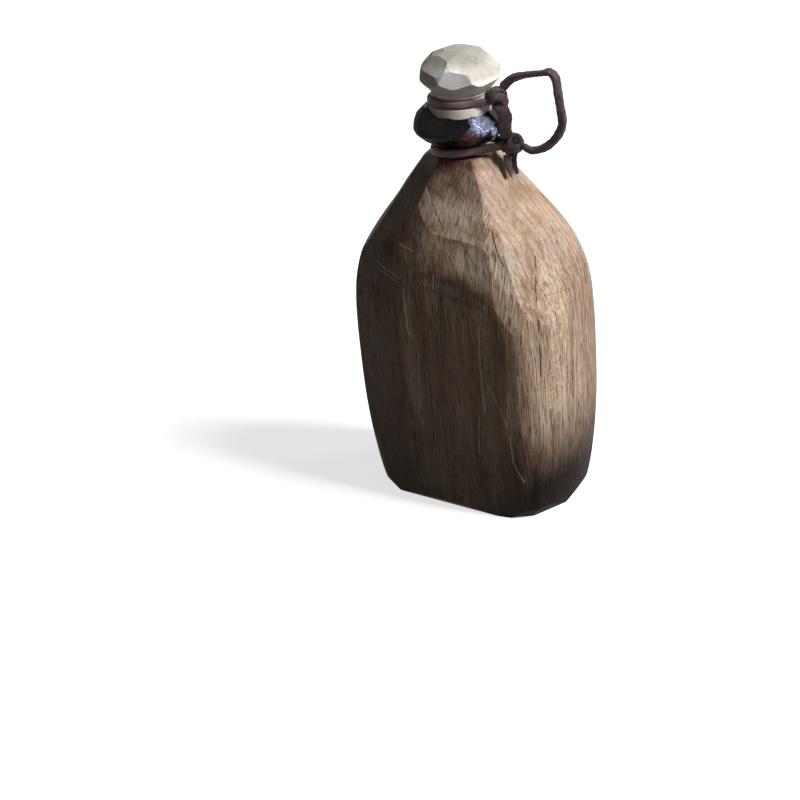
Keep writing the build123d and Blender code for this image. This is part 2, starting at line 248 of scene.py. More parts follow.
# One line on a flat side of the wood, such as a scratch or a split, in millimetres
wood_line, given, result = new_group(
    "Line on the wood",
    (
        ("Flat place", "NodeSocketVector", (0.0, 0.0, 0.0)),
        ("Start", "NodeSocketVector", (0.0, 0.0, 0.0)),
        ("Run", "NodeSocketVector", (0.0, 0.0, 1.0)),
        ("Length", "NodeSocketFloat", 10.0),
        ("Width", "NodeSocketFloat", 0.2),
    ),
    (("Mask", "NodeSocketFloat"),),
)
along = vectors(wood_line, "SUBTRACT", given["Flat place"], given["Start"])
reached = vectors(wood_line, "DOT_PRODUCT", along, given["Run"], output="Value")
reached = maths(wood_line, "MINIMUM", maths(wood_line, "MAXIMUM", reached, 0.0), given["Length"])
nearest = vectors(wood_line, "SCALE", given["Run"], Scale=reached)
gap = vectors(wood_line, "DISTANCE", along, nearest, output="Value")
line_mask = between(wood_line, maths(wood_line, "DIVIDE", gap, given["Width"]), 0.35, 1.0, 1.0, 0.0)
wood_line.links.new(line_mask, result["Mask"])


# A soft patch with a ragged edge, such as a stain or a bleached place
soft_patch, given, result = new_group(
    "Soft patch",
    (
        ("Place", "NodeSocketVector", (0.0, 0.0, 0.0)),
        ("Middle", "NodeSocketVector", (0.0, 0.0, 0.0)),
        ("Reach", "NodeSocketVector", (5.0, 5.0, 5.0)),
        ("Ragged", "NodeSocketFloat", 0.8),
    ),
    (("Mask", "NodeSocketFloat"),),
)
away = vectors(soft_patch, "SUBTRACT", given["Place"], given["Middle"])
away = vectors(soft_patch, "DIVIDE", away, given["Reach"])
distance = vectors(soft_patch, "LENGTH", away, output="Value")
tatters = noise(soft_patch, given["Place"], (3.4, 3.4, 8.0), 4.0, 0.62)
tatters = maths(soft_patch, "SUBTRACT", tatters, 0.5)
distance = maths(soft_patch, "MULTIPLY_ADD", tatters, given["Ragged"], distance)
soft_patch.links.new(between(soft_patch, distance, 0.55, 1.20, 1.0, 0.0), result["Mask"])


def patch_on(tree, place, middle, reach, ragged=0.8):
    """The mask of a soft patch round a middle, with its reach along X, Y and Z in millimetres."""
    inputs = {"Place": place, "Middle": middle, "Reach": reach, "Ragged": ragged}
    return put_group(tree, soft_patch, inputs)["Mask"]


def lines_on(tree, place, flat, rows):
    """The mask of several lines: each row has both ends across the flat and in height, and a width."""
    flat_place = vectors(tree, "MULTIPLY", place, flat)
    wobble = maths(tree, "MULTIPLY_ADD", noise(tree, flat_place, (7, 7, 7), 2.0), 1.1, -0.55)
    aside = vectors(tree, "SCALE", (flat[0], flat[1], 0), Scale=wobble)
    flat_place = vectors(tree, "ADD", flat_place, aside)
    mask = None
    for start, low_start, end, low_end, width in rows:
        begin = Vector((start * flat[0], start * flat[1], low_start))
        run = Vector((end * flat[0], end * flat[1], low_end)) - begin
        inputs = {"Flat place": flat_place, "Start": begin, "Run": run.normalized(), "Length": run.length}
        line = put_group(tree, wood_line, {**inputs, "Width": width})["Mask"]
        mask = line if mask is None else maths(tree, "MAXIMUM", mask, line)
    return mask


# The wood's colours: the oiled ground, what the grain draws on it, and what tools and hands have left
oiled_pale = (0.74, 0.555, 0.42)
oiled_brown = (0.46, 0.31, 0.21)
ring_brown = (0.31, 0.195, 0.125)
cloud_brown = (0.43, 0.275, 0.20)
fibre_brown = (0.20, 0.125, 0.082)
thread_pale = (0.90, 0.73, 0.58)
speck_pale = (0.88, 0.73, 0.60)
speck_brown = (0.21, 0.13, 0.085)
curl_ground = (0.70, 0.53, 0.385)
curl_pale = (0.88, 0.70, 0.53)
pore_brown = (0.075, 0.042, 0.026)
split_brown = (0.050, 0.028, 0.018)
worn_edge = (0.66, 0.52, 0.40)
scratch_pale = (1.0, 0.84, 0.68)
painted_foot_shadow = (0.026, 0.019, 0.016)
painted_under_shade = (0.16, 0.12, 0.10)
painted_left_shade = (0.16, 0.13, 0.11)
painted_front_shade = (0.10, 0.06, 0.05)
painted_shade_brown = (0.14, 0.08, 0.06)
neck_stain = (0.105, 0.030, 0.022)

# The two flats that lines are drawn on, and the lines: across and height of both ends, and width
front_flat = (1, 0, 1)
side_flat = (0, 1, 1)
front_scratches = (
    (-12.9, 104, -12.4, 85, 0.52),
    (-12.4, 85.2, -9.7, 81.5, 0.36),
    (-7.2, 81, -10.1, 46, 0.22),
    (23.4, 93, 22.8, 73, 0.46),
    (22.8, 73.4, 23.6, 53, 0.44),
    (26.3, 65.2, 34.2, 47.7, 0.34),
    (34.7, 42.8, 35.0, 29.5, 0.42),
    (35.0, 29.8, 38.3, 20.1, 0.30),
    (-16.0, 40.8, -14.3, 39.1, 0.36),
    (37.3, 93, 34.3, 49, 0.22),
    (20.7, 51, 19.2, 32, 0.22),
    (-28.4, 112.8, -15.1, 108.2, 0.32),
    (-26.0, 110.0, -17.0, 106.6, 0.24),
    (-16.8, 123, -8.1, 121, 0.24),
    (-7.4, 147, -3.2, 141, 0.16),
    (2.0, 112, 3.4, 96, 0.20),
    (10.6, 103, 11.0, 88, 0.20),
)
front_splits = (
    (-3.2, 141.5, 5.5, 131.4, 0.26),
    (-6.8, 130.6, -0.2, 112.9, 0.26),
    (2.0, 126.0, 5.8, 118.0, 0.22),
    (9.0, 121.0, 12.9, 114.4, 0.31),
    (13.8, 129.0, 22.6, 117.0, 0.29),
    (8.3, 149.0, 13.5, 141.4, 0.21),
    (26.5, 132.8, 33.8, 119.0, 0.31),
    (24.0, 127.0, 28.5, 116.0, 0.25),
    (17.5, 121.0, 20.0, 113.0, 0.22),
    (21.8, 104.0, 25.8, 92.0, 0.21),
)
side_splits = (
    (-10.5, 119.0, -20.8, 96.6, 0.50),
    (-20.8, 97.0, -22.5, 70.0, 0.42),
    (8.9, 130.8, 1.9, 120.9, 0.42),
    (15.7, 104.0, 9.1, 79.3, 0.50),
    (9.1, 79.6, 9.4, 44.0, 0.36),
    (4.5, 108.0, -1.5, 88.0, 0.34),
    (-2.0, 86.0, -3.4, 52.0, 0.34),
)

# Paler and darker places, some the wood's own tone and some painted light and painted shade: middle, reach,
# colour and how strong it is
tone_and_painted_light_places = (
    ((23.0, -12.0, 143.0), (10.0, 9.0, 13.0), (0.585, 0.43, 0.345), 0.60),
    ((20.5, 1.0, 150.0), (7.0, 5.0, 7.0), (0.72, 0.59, 0.40), 0.62),
    ((35.0, -23.6, 118.5), (8.0, 6.5, 10.0), (0.66, 0.60, 0.48), 0.72),
    ((41.5, 5.0, 122.0), (8.0, 8.0, 10.0), (0.61, 0.475, 0.40), 0.45),
    ((7.0, -23.0, 138.4), (17.0, 7.0, 4.6), (0.74, 0.62, 0.50), 0.72),
    # painted light: a front facet made paler where it catches little light
    ((20.5, -28.5, 121.0), (11.0, 7.0, 9.0), (0.98, 0.79, 0.62), 0.80),
    ((8.0, -28.0, 127.0), (10.0, 7.0, 4.4), (0.70, 0.54, 0.42), 0.55),
    # painted shade: these three dark places below that facet
    ((1.0, -33.0, 109.5), (12.0, 6.0, 4.6), (0.10, 0.058, 0.040), 0.66),
    ((10.5, -32.0, 107.5), (10.0, 6.0, 5.0), (0.07, 0.040, 0.028), 0.75),
    ((20.0, -32.0, 104.5), (11.0, 6.0, 4.2), (0.10, 0.058, 0.040), 0.66),
    ((1.0, -33.0, 106.5), (17.0, 6.0, 4.2), (0.60, 0.46, 0.345), 0.44),
)

# Places darkened with painted shade: middle, reach and how strongly
painted_shade_places = (
    ((-24.0, -24.0, 127.0), (14.0, 12.0, 16.0), 0.45),
    ((-8.0, -22.0, 136.0), (9.0, 12.0, 22.0), 0.42),
    ((-2.0, -15.0, 150.0), (12.0, 7.0, 11.0), 0.55),
    ((11.0, -15.5, 149.0), (9.0, 6.0, 9.0), 0.30),
    ((39.0, -27.0, 24.0), (7.0, 8.0, 26.0), 0.55),
)

# Where each effect sets in and where it is full, or the other way round, in millimetres
shoulder_heights = (104, 128)
broad_front_heights = (104, 76)
foot_heights = (20, 62)
foot_depths = (-31, -24)
cord_stain_heights = (155.0, 160.5)
neck_end_heights = (160.0, 162.0)
curl_lean_heights = (55, 112)
curl_lean_depths = (-14.7, -7.6)
curl_half_width = (3.5, 7.5)
curl_width_start = (32, 40)
curl_low_end = (44, 58)
curl_high_end = (108, 122)
swell_low_flank = (104, 117)
swell_high_flank = (131, 117)
swell_left_end = (-12, 2)
swell_right_end = (42, 28)


def with_tone_and_painted_light(tree, colour, place, faces):
    """The wood with paler and darker places, some its own tone and some painted light and shade, none at
    the left.
    """
    right_of_left = between(tree, faces[0], -0.30, -0.10)
    for middle, reach, shade, strength in tone_and_painted_light_places:
        share = times(tree, patch_on(tree, place, middle, reach), strength, right_of_left)
        colour = mixed(tree, share, colour, shade)
    return colour


def curled(tree, colour, place, x, y, z):
    """The wood with its curl: short pale ripples across the grain, in a band up the narrow side."""
    ripples = noise(tree, place, (5, 3.2, 1.15), 2.0, 0.55, 1.2)
    band_middle = between(tree, z, *curl_lean_heights, *curl_lean_depths, smooth=False)
    off_middle = maths(tree, "ABSOLUTE", maths(tree, "SUBTRACT", y, band_middle))
    in_width = between(tree, off_middle, *curl_half_width, 1.0, 0.0)
    in_band = times(tree, in_width, between(tree, x, *curl_width_start))
    in_height = times(tree, between(tree, z, *curl_low_end), between(tree, z, *curl_high_end, 1.0, 0.0))
    in_band = times(tree, in_band, in_height)
    colour = mixed(tree, times(tree, in_band, 0.40), colour, curl_ground)
    curl = times(tree, in_band, between(tree, ripples, 0.46, 0.58))
    return mixed(tree, times(tree, curl, 0.52), colour, curl_pale)


def with_painted_shade(tree, colour, place, y, z, faces, on_broad):
    """The wood with painted shade: low down, underneath, at the left, over the broad front and at the
    listed places.
    """
    # painted shadow: darker towards the foot, less so on the broad front
    foot = maths(tree, "MULTIPLY_ADD", noise(tree, place, (12, 12, 16), 3.0), 12.0, z)
    foot = between(tree, foot, *foot_heights, 1.0, 0.0)
    foot = times(tree, foot, between(tree, y, *foot_depths, 0.40, 1.0))
    colour = mixed(tree, foot, colour, painted_foot_shadow, "MULTIPLY")
    # painted shade on the faces that look downwards
    under = between(tree, faces[2], -0.25, -0.50, 0.0, 0.80)
    colour = mixed(tree, under, colour, painted_under_shade, "MULTIPLY")
    # painted shade on the faces that look to the left
    left = between(tree, faces[0], 0.0, -0.21, 0.0, 0.78)
    colour = mixed(tree, left, colour, painted_left_shade, "MULTIPLY")
    # painted shade over the broad front
    colour = mixed(tree, times(tree, on_broad, 0.24), colour, painted_front_shade, "MULTIPLY")
    # painted shade at the left shoulder, the front of the neck and low on the front right corner
    for middle, reach, strength in painted_shade_places:
        share = times(tree, patch_on(tree, place, middle, reach), strength)
        colour = mixed(tree, share, colour, painted_shade_brown, "MULTIPLY")
    return colour


def knife_marks(tree, place, grain, splits):
    """The height of the pared wood: shallow hollows where the blade went in, chatter and open grain."""
    hollows = noise(tree, place, (10, 10, 15), 1.0)
    chatter = noise(tree, place, (16, 16, 1.1), 2.0, 0.6, 0.4)
    height = times(tree, hollows, 0.70)
    for mark, rise in ((chatter, 0.12), (grain["Fibres"], 0.20), (grain["Pores"], -0.22), (splits, -0.40)):
        height = maths(tree, "MULTIPLY_ADD", mark, rise, height)
    return height


def shoulder_swell(tree, x, z):
    """A low swell that the blade left aslant across the shoulder of the front."""
    slant = maths(tree, "MULTIPLY_ADD", x, 0.3, z)
    swell = times(tree, between(tree, slant, *swell_low_flank), between(tree, slant, *swell_high_flank))
    swell = times(tree, swell, between(tree, x, *swell_left_end))
    return times(tree, swell, between(tree, x, *swell_right_end))


def body_wood(name, tone, has_front):
    """The wood of one half of the body. Only the front half has the front's slits, scratches and swell."""
    material, tree, shader = new_material(name)
    place = millimetres(tree)
    x, y, z = parts(tree, place)
    faces = facing(tree)
    narrow = maths(tree, "ABSOLUTE", faces[0])
    narrow = maths(tree, "SUBTRACT", narrow, maths(tree, "ABSOLUTE", faces[1]))
    grain = put_group(tree, wood_grain, {
        "Place": place, "Ring width": 3.4, "Wander": 9.0, "Pore share": 0.72,
        "Side": between(tree, narrow, -0.12, 0.12),
    })

    # the oiled ground in bands and clouds, then its own tone, painted light and painted shade in places
    bands = noise(tree, place, (8, 8, 200), 3.0, 0.55, 0.3)
    clouds = noise(tree, place, (14, 14, 34), 3.0, 0.5)
    fuzz = noise(tree, place, (0.5, 0.5, 1.0), 2.0, 0.7)
    pale = tuple(part * share for part, share in zip(oiled_pale, tone))
    brown = tuple(part * share for part, share in zip(oiled_brown, tone))
    colour = mixed(tree, between(tree, bands, 0.36, 0.66), pale, brown)
    colour = mixed(tree, times(tree, grain["Rings"], 0.34), colour, ring_brown)
    colour = mixed(tree, between(tree, clouds, 0.45, 0.70, 0.0, 0.40), colour, cloud_brown)
    colour = with_tone_and_painted_light(tree, colour, place, faces)

    # fibres, threads and pores, fainter on the right shoulder and low on the front, with specks and curl
    shoulder = times(tree, between(tree, z, *shoulder_heights), between(tree, faces[0], 0.45, 0.60))
    on_broad = between(tree, faces[1], -0.90, -0.95)
    on_broad = times(tree, on_broad, between(tree, z, *broad_front_heights))
    calm = maths(tree, "MAXIMUM", shoulder, times(tree, on_broad, 0.5))
    drawn = maths(tree, "MULTIPLY_ADD", calm, -0.62, 1.0)
    fibres = times(tree, between(tree, grain["Fibres"], 0.44, 0.62, 0.0, 0.66), drawn)
    threads = times(tree, between(tree, grain["Threads"], 0.55, 0.63, 0.0, 0.50), drawn)
    colour = mixed(tree, fibres, colour, fibre_brown)
    colour = mixed(tree, threads, colour, thread_pale)
    colour = mixed(tree, between(tree, fuzz, 0.5, 0.72, 0.0, 0.26), colour, speck_pale)
    colour = mixed(tree, between(tree, fuzz, 0.5, 0.28, 0.0, 0.26), colour, speck_brown)
    colour = curled(tree, colour, place, x, y, z)
    colour = mixed(tree, times(tree, grain["Pores"], 0.78, drawn), colour, pore_brown)

    # splits, in short dashes at the side and whole in front, and edges that have rubbed pale
    on_side = between(tree, faces[0], 0.55, 0.75)
    dashes = between(tree, noise(tree, place, (3, 3, 7), 2.0), 0.40, 0.50)
    splits = times(tree, lines_on(tree, place, side_flat, side_splits), on_side, dashes)
    if has_front:
        on_front = between(tree, faces[1], -0.40, -0.55)
        slits = times(tree, lines_on(tree, place, front_flat, front_splits), on_front)
        splits = maths(tree, "MAXIMUM", splits, slits)
        scratches = times(tree, lines_on(tree, place, front_flat, front_scratches), on_front)
    colour = mixed(tree, times(tree, splits, 0.70), colour, split_brown)
    edges = put_group(tree, eased_edges, {"Radius": 0.0008})
    rubbed = between(tree, noise(tree, place, (2, 2, 6), 2.0), 0.4, 0.65)
    colour = mixed(tree, times(tree, edges["Edge"], rubbed, 0.5), colour, worn_edge)
    colour = with_painted_shade(tree, colour, place, y, z, faces, on_broad)

    # stain has run into the end of the neck under the cord
    stain = maths(tree, "MULTIPLY_ADD", noise(tree, place, (4, 4, 5), 3.0), 9.0, z)
    stain = between(tree, stain, *cord_stain_heights)
    to_front = between(tree, maths(tree, "MULTIPLY_ADD", x, 0.8, y), 6.0, -4.0)
    stain = maths(tree, "MAXIMUM", times(tree, stain, to_front), between(tree, z, *neck_end_heights))
    colour = mixed(tree, times(tree, stain, 0.80), colour, neck_stain)

    height = knife_marks(tree, place, grain, splits)
    if has_front:
        colour = mixed(tree, scratches, colour, scratch_pale)
        height = maths(tree, "MULTIPLY_ADD", shoulder_swell(tree, x, z), 2.1, height)
        height = maths(tree, "MULTIPLY_ADD", scratches, 0.45, height)
    bump_on(tree, shader, height, 0.8, normal=edges["Normal"])
    rough = between(tree, grain["Fibres"], 0.3, 0.7, 0.54, 0.68)
    rough = maths(tree, "MULTIPLY_ADD", stain, -0.25, rough)
    fill_inputs(tree, shader, {"Base Color": colour, "Roughness": rough, "Specular IOR Level": 0.06})
    return material


finish_with("body_front_half", body_wood("carved front wood", tone=(1.0, 1.0, 1.0), has_front=True))
finish_with("body_back_half", body_wood("carved back wood", tone=(0.96, 0.93, 0.92), has_front=False))


# The inner lining
# A coat of dark lacquer poured round the hollow and the neck, so that the wood holds water.
# It is seen only through the open mouth, glossy and uneven where it ran.

lining_brown = (0.10, 0.045, 0.022)
lining_dark = (0.035, 0.015, 0.009)

lining_lacquer, tree, shader = new_material("lining lacquer")
place = millimetres(tree)
runs = noise(tree, place, (5, 5, 24), 3.0)
fill_inputs(tree, shader, {
    "Base Color": mixed(tree, between(tree, runs, 0.35, 0.7), lining_brown, lining_dark),
    "Roughness": between(tree, runs, 0.3, 0.7, 0.22, 0.38),
})
bump_on(tree, shader, runs, 0.4)
finish_with("inner_lining", lining_lacquer)


# The mouth collar
# A wooden ring cut in facets and covered in many coats of near-black lacquer, rubbed through to
# red-brown on its corners, with a painted bluish sky reflection at its front rim. It is glued over the
# neck's tenon.

lacquer_black = (0.006, 0.005, 0.006)
lacquer_red = (0.040, 0.014, 0.012)
rubbed_red = (0.130, 0.056, 0.052)
corner_red = (0.09, 0.032, 0.024)
painted_sky_reflection_blue = (0.56, 0.62, 0.92)

collar_lacquer, tree, shader = new_material("collar lacquer")
place = millimetres(tree)
edges = put_group(tree, eased_edges, {"Radius": 0.0007})
patches = noise(tree, place, (6, 6, 5), 3.0, 0.55, 0.6)
specks = noise(tree, place, (0.9, 0.9, 0.9), 2.0, 0.6)
colour = mixed(tree, between(tree, patches, 0.56, 0.66), lacquer_black, lacquer_red)
rubbed_place = patch_on(tree, place, middle=(13.8, -13.8, 166.8), reach=(6.5, 5.0, 4.6), ragged=0.5)
colour = mixed(tree, times(tree, rubbed_place, 0.85), colour, rubbed_red)
rubbed = times(tree, edges["Edge"], between(tree, specks, 0.35, 0.6))
colour = mixed(tree, times(tree, rubbed, 0.30), colour, corner_red)

# a painted reflection of the sky: a bluish metallic patch on the front of the rim
painted_reflection = patch_on(tree, place, middle=(15.8, -7.2, 172.8), reach=(5.6, 5.6, 4.4), ragged=1.5)
lower_reflection_place = patch_on(tree, place, middle=(20.2, -4.2, 169.4), reach=(2.2, 2.6, 2.8), ragged=1.6)
painted_reflection = maths(tree, "MAXIMUM", painted_reflection, times(tree, lower_reflection_place, 0.6))
painted_reflection = times(tree, painted_reflection, between(tree, specks, 0.36, 0.56, 0.18, 1.0))
colour = mixed(tree, painted_reflection, colour, painted_sky_reflection_blue)

ripples = noise(tree, place, (2.6, 2.6, 2.6), 3.0, 0.55)
grit = noise(tree, place, (0.5, 0.5, 0.5), 2.0, 0.6)
height = maths(tree, "MULTIPLY_ADD", grit, 0.05, times(tree, ripples, 0.34))
bump_on(tree, shader, height, 0.7, normal=edges["Normal"])
dulled = between(tree, facing(tree)[0], 0.05, -0.25, 0.0, 0.45)
fill_inputs(tree, shader, {
    "Base Color": colour,
    "Metallic": times(tree, painted_reflection, 0.9),
    "Roughness": maths(tree, "ADD", dulled, between(tree, ripples, 0.3, 0.7, 0.18, 0.30)),
    "IOR": 1.36,
    "Specular IOR Level": 0.14,
    "Specular Tint": (0.86, 0.90, 1.0, 1.0),
})
finish_with("neck_collar", collar_lacquer)


# The stopper
# One piece of pale, close wood: a knob cut in flat facets over a turned shank, the groove for the
# thong and a flange, with a plug below. It is bare wood, greyed by hands on top, with painted light in
# front and low down and painted shade at its left.

knob_white = (0.76, 0.725, 0.655)
knob_cream = (0.68, 0.635, 0.555)
knob_ring = (0.56, 0.48, 0.37)
knob_fibre = (0.50, 0.43, 0.33)
knob_pore = (0.30, 0.24, 0.17)
smudge_brown = (0.40, 0.36, 0.30)
painted_light_white = (0.96, 0.96, 0.95)
painted_underlight_white = (1.0, 0.95, 0.87)
painted_knob_left_shade = (0.14, 0.105, 0.08)
top_grey = (0.36, 0.345, 0.30)
groove_brown = (0.42, 0.35, 0.27)
low_edge_heights = (193.0, 190.0)
greyed_heights = (198.5, 203.5)
groove_heights = (186.0, 182.6)

knob_wood, tree, shader = new_material("pale knob wood")
place = millimetres(tree)
z = parts(tree, place)[2]
grain = put_group(tree, wood_grain, {
    "Place": place, "Heart": (-45.0, 60.0, 0.0), "Ring width": 2.2, "Wander": 3.0, "Pore share": 0.2,
})
patches = noise(tree, place, (7, 7, 7), 3.0)
colour = mixed(tree, between(tree, patches, 0.35, 0.7), knob_white, knob_cream)
colour = mixed(tree, times(tree, grain["Rings"], 0.22), colour, knob_ring)
colour = mixed(tree, between(tree, grain["Fibres"], 0.4, 0.75, 0.0, 0.22), colour, knob_fibre)
colour = mixed(tree, times(tree, grain["Pores"], 0.25), colour, knob_pore)
smudge = between(tree, noise(tree, place, (3, 3, 3), 3.0), 0.5, 0.75, 0.0, 0.25)
colour = mixed(tree, smudge, colour, smudge_brown)
# painted light: a near-white oval on the front facets of the knob
painted_light_oval = patch_on(tree, place, middle=(5.6, -15.0, 194.6), reach=(9.0, 6.0, 5.2), ragged=0.5)
colour = mixed(tree, times(tree, painted_light_oval, 0.9), colour, painted_light_white)
# painted light: the knob's lower edge and all below it made paler, as if lit from underneath
colour = mixed(tree, between(tree, z, *low_edge_heights), colour, painted_underlight_white)
# painted shade on the faces that look to the left
colour = mixed(tree, between(tree, facing(tree)[0], -0.12, -0.35, 0.0, 0.85), colour, painted_knob_left_shade)
greyed = maths(tree, "MULTIPLY_ADD", noise(tree, place, (3, 3, 3), 3.0), 5.0, z)
colour = mixed(tree, between(tree, greyed, *greyed_heights, 0.0, 0.72), colour, top_grey)
colour = mixed(tree, between(tree, z, *groove_heights, 0.0, 0.35), colour, groove_brown)

hollows = noise(tree, place, (5, 5, 5), 1.0)
height = maths(tree, "MULTIPLY_ADD", hollows, 0.35, times(tree, grain["Fibres"], 0.05))
edges = put_group(tree, eased_edges, {"Radius": 0.0005})
bump_on(tree, shader, height, 0.6, normal=edges["Normal"])
fill_inputs(tree, shader, {
    "Base Color": colour,
    "Roughness": between(tree, grain["Fibres"], 0.3, 0.7, 0.50, 0.64),
    "Specular IOR Level": 0.3,
})
finish_with("stopper", knob_wood)


# The stopper's seal
# A sleeve of soft tan leather, glued round the plug below the flange, which closes the mouth.
# It is seen when the stopper is out, darker where the drink has wetted it.

seal_tan = (0.42, 0.28, 0.17)
seal_wetted = (0.20, 0.12, 0.07)
seal_nap = (0.12, 0.07, 0.045)

seal_leather, tree, shader = new_material("seal leather")
place = millimetres(tree)
nap = noise(tree, place, (0.5, 0.5, 0.5), 4.0, 0.6)
worn = noise(tree, place, (4, 4, 3), 2.0)
colour = mixed(tree, between(tree, worn, 0.4, 0.7), seal_tan, seal_wetted)
fill_inputs(tree, shader, {
    "Base Color": mixed(tree, between(tree, nap, 0.45, 0.7, 0.0, 0.4), colour, seal_nap),
    "Roughness": between(tree, nap, 0.3, 0.7, 0.70, 0.90),
})
bump_on(tree, shader, nap, 0.5, depth=0.0005)
finish_with("stopper_seal", seal_leather)


# The leather thong
# A 3 mm lace of dark, purplish-brown leather, cut square and softened by wear. It is tied round the
# stopper and round the neck, with a strand and a free loop between its two knots.

hide_dark = (0.076, 0.048, 0.050)
hide_brown = (0.132, 0.090, 0.093)
hide_pale = (0.20, 0.145, 0.148)
crease_dark = (0.034, 0.020, 0.021)
painted_light_mauve = (0.28, 0.185, 0.195)
painted_strand_shade_dark = (0.25, 0.20, 0.20)
painted_light_depths = (-5, -12)
painted_strand_shade_high_end = (181, 177)
painted_strand_shade_low_end = (157, 160)
painted_strand_shade_width_end = (32, 28)
painted_strand_shade_depths = (-9, -5)

thong_leather, tree, shader = new_material("thong leather")
place = millimetres(tree)
x, y, z = parts(tree, place)
hide = noise(tree, place, (1.6, 1.6, 1.6), 4.0, 0.6)
cells = {"Vector": place, "Scale": 2.4, "Randomness": 1.0}
pebbles = add_node(tree, "ShaderNodeTexVoronoi", cells).outputs[0]
tones = noise(tree, place, (7, 7, 7), 2.0)
colour = mixed(tree, between(tree, tones, 0.35, 0.7), hide_dark, hide_brown)
colour = mixed(tree, between(tree, hide, 0.5, 0.72, 0.0, 0.6), colour, hide_pale)
colour = mixed(tree, between(tree, hide, 0.46, 0.3, 0.0, 0.55), colour, crease_dark)

# painted light makes it paler in front, and painted shade darkens it between the two turns
painted_light_front = between(tree, y, *painted_light_depths)
colour = mixed(tree, times(tree, painted_light_front, 0.75), colour, painted_light_mauve)
# painted shade on the strand and the knots
painted_strand_shade = times(tree, between(tree, z, *painted_strand_shade_high_end), between(tree, z, *painted_strand_shade_low_end))
painted_strand_shade = times(tree, painted_strand_shade, between(tree, x, *painted_strand_shade_width_end))
painted_strand_shade = times(tree, painted_strand_shade, between(tree, y, *painted_strand_shade_depths, 0.0, 0.75))
colour = mixed(tree, painted_strand_shade, colour, painted_strand_shade_dark, "MULTIPLY")
height = maths(tree, "MULTIPLY_ADD", pebbles, 0.10, times(tree, hide, 0.25))
bump_on(tree, shader, height, 0.6)
fill_inputs(tree, shader, {
    "Base Color": colour,
    "Roughness": between(tree, hide, 0.3, 0.7, 0.72, 0.52),
    "Specular IOR Level": 0.24,
    "Sheen Weight": 0.08,
    "Sheen Roughness": 0.5,
})

lace_sides = 20
corner_power = 0.62      # 1 gives a round lace, and a smaller power a squarer one


def smooth_line(name, route):
    """Points along the smooth line that a route's points control."""
    curve = bpy.data.curves.new(name, "CURVE")
    curve.dimensions = "3D"
    curve.resolution_u = 12
    spline = curve.splines.new("NURBS")
    spline.points.add(len(route) - 1)
    for point, place in zip(spline.points, route):
        point.co = (*place, 1.0)
    spline.order_u = 3
    spline.use_endpoint_u = True
    holder = bpy.data.objects.new(name, curve)
    mesh = bpy.data.meshes.new_from_object(holder)
    points = [vertex.co.copy() for vertex in mesh.vertices]
    bpy.data.objects.remove(holder)
    bpy.data.curves.remove(curve)
    bpy.data.meshes.remove(mesh)
    return points


def lace_section(wide, thick):
    """Points round the section of a lace, a square with softened corners."""
    section = []
    for step in range(lace_sides):
        angle = 2 * math.pi * step / lace_sides
        over, up = math.cos(angle), math.sin(angle)
        section.append((
            math.copysign(abs(over) ** corner_power, over) * wide / 2,
            math.copysign(abs(up) ** corner_power, up) * thick / 2,
        ))
    return section


def waver(number):
    """How much a lace cut by hand swells and thins along its line."""
    return 1.0 + 0.03 * math.sin(number * 0.9) + 0.035 * math.sin(number * 0.37 + 1.0)


def lace_skin(points, wide, thick, twist=0.0, lean=0.0, taper=0.0, across=(0, 0, 1)):
    """The skin of a lace along a line, which can lean and twist round it and taper to its far end."""
    section = lace_section(wide, thick)
    last = len(points) - 1
    side = Vector(across)
    vertices, faces = [], []
    for number, point in enumerate(points):
        ahead = (points[min(number + 1, last)] - points[max(number - 1, 0)]).normalized()
        side = (side - ahead * side.dot(ahead)).normalized()
        other = ahead.cross(side)
        share = number / last
        size = waver(number) * (1.0 - taper * share)
        turn = lean + twist * share
        cosine, sine = math.cos(turn), math.sin(turn)
        for over, up in section:
            over, up = over * size, up * size
            turned_over, turned_up = over * cosine - up * sine, over * sine + up * cosine
            vertices.append(point + side * turned_over + other * turned_up)
    for number in range(last):
        near, after = number * lace_sides, (number + 1) * lace_sides
        for step in range(lace_sides):
            following = (step + 1) % lace_sides
            faces.append((near + step, near + following, after + following, after + step))
    faces.append(tuple(reversed(range(lace_sides))))
    faces.append(tuple(range(last * lace_sides, len(points) * lace_sides)))
    return vertices, faces


def leather_piece(name, *skins):
    """One piece of leather from one or more skins."""
    vertices, faces = [], []
    for skin_vertices, skin_faces in skins:
        first = len(vertices)
        vertices += skin_vertices
        faces += [tuple(first + corner for corner in face) for face in skin_faces]
    mesh = bpy.data.meshes.new(name)
    mesh.from_pydata(vertices, [], faces)
    mesh.shade_smooth()
    mesh.materials.append(thong_leather)
    piece = bpy.data.objects.new(name, mesh)
    bpy.context.scene.collection.objects.link(piece)
    return piece


def lace(name, points, **shape):
    """A piece of lace along a line."""
    return leather_piece(name, lace_skin(points, **shape))


# The carry loop: up from the stopper's knot, folded hard at its top corner, and down to the neck's knot
loop_route = (
    (0.0209, 0.0026, 0.1873),
    (0.0233, 0.0033, 0.1901),
    (0.0272, 0.0038, 0.1922),
    (0.0336, 0.0047, 0.1935),
    (0.0392, 0.0055, 0.1943),
    (0.0420, 0.0059, 0.1953),
    (0.0447, 0.0063, 0.1928),
    (0.0451, 0.0063, 0.1874),
    (0.0459, 0.0065, 0.1797),
    (0.0468, 0.0066, 0.1729),
    (0.0443, 0.0062, 0.1676),
    (0.0399, 0.0056, 0.1629),
    (0.0345, 0.0049, 0.1603),
    (0.0303, 0.0043, 0.1600),
    (0.0282, 0.0040, 0.1619),
)
loop_line = smooth_line("loop_line", loop_route)
carry_loop = lace("thong_carry_loop", loop_line, wide=0.0038, thick=0.0027, twist=4.6, lean=0.2)
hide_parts("carry_loop")
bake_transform(carry_loop)

